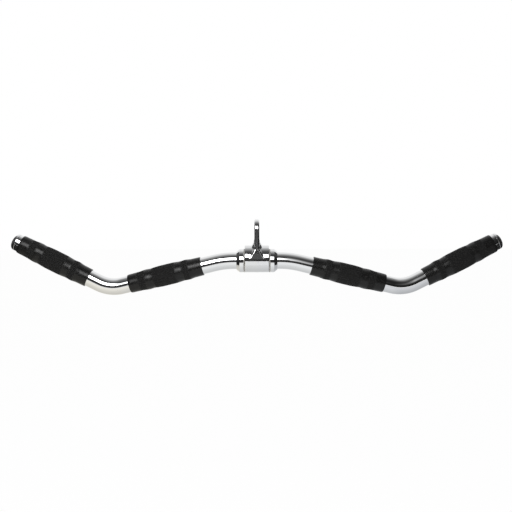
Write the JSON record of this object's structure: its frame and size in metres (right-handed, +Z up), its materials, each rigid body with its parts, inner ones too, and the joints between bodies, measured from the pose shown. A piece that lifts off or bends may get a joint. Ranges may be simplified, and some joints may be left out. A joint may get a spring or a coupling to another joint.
{
  "type": "cable attachment bar",
  "caption": "Wide double-bent tubular pull and press bar with contoured rubber grips, domed end caps and a revolving hub with an eye for a snap hook.",
  "frame": {"origin": "centre of the eye in the hub, which the bar hangs from", "axes": "+X along the bar, +Y towards its back, +Z up out of the eye"},
  "size_m": [0.82, 0.045, 0.1267],
  "materials": {
    "chrome": "bright chrome plate over steel",
    "grip_rubber": "moulded satin black rubber with a fine grain",
    "bushing_nylon": "turned natural grey nylon",
    "screw_steel": "black oxide steel"
  },
  "bodies": {
    "hub": {"swivel_hub": "chrome", "left_bushing": "bushing_nylon", "right_bushing": "bushing_nylon"},
    "bar": {"bar_tube": "chrome", "left_collar": "chrome", "right_collar": "chrome", "left_set_screw": "screw_steel", "right_set_screw": "screw_steel", "left_inner_grip": "grip_rubber", "left_outer_grip": "grip_rubber", "right_inner_grip": "grip_rubber", "right_outer_grip": "grip_rubber", "left_end_cap": "chrome", "right_end_cap": "chrome"}
  },
  "joints": [
    {"name": "hub_swivel", "type": "hinge", "parent": "hub", "child": "bar", "pos_m": [0, 0, -0.0522], "axis": [1, 0, 0], "continuous": true}
  ]
}
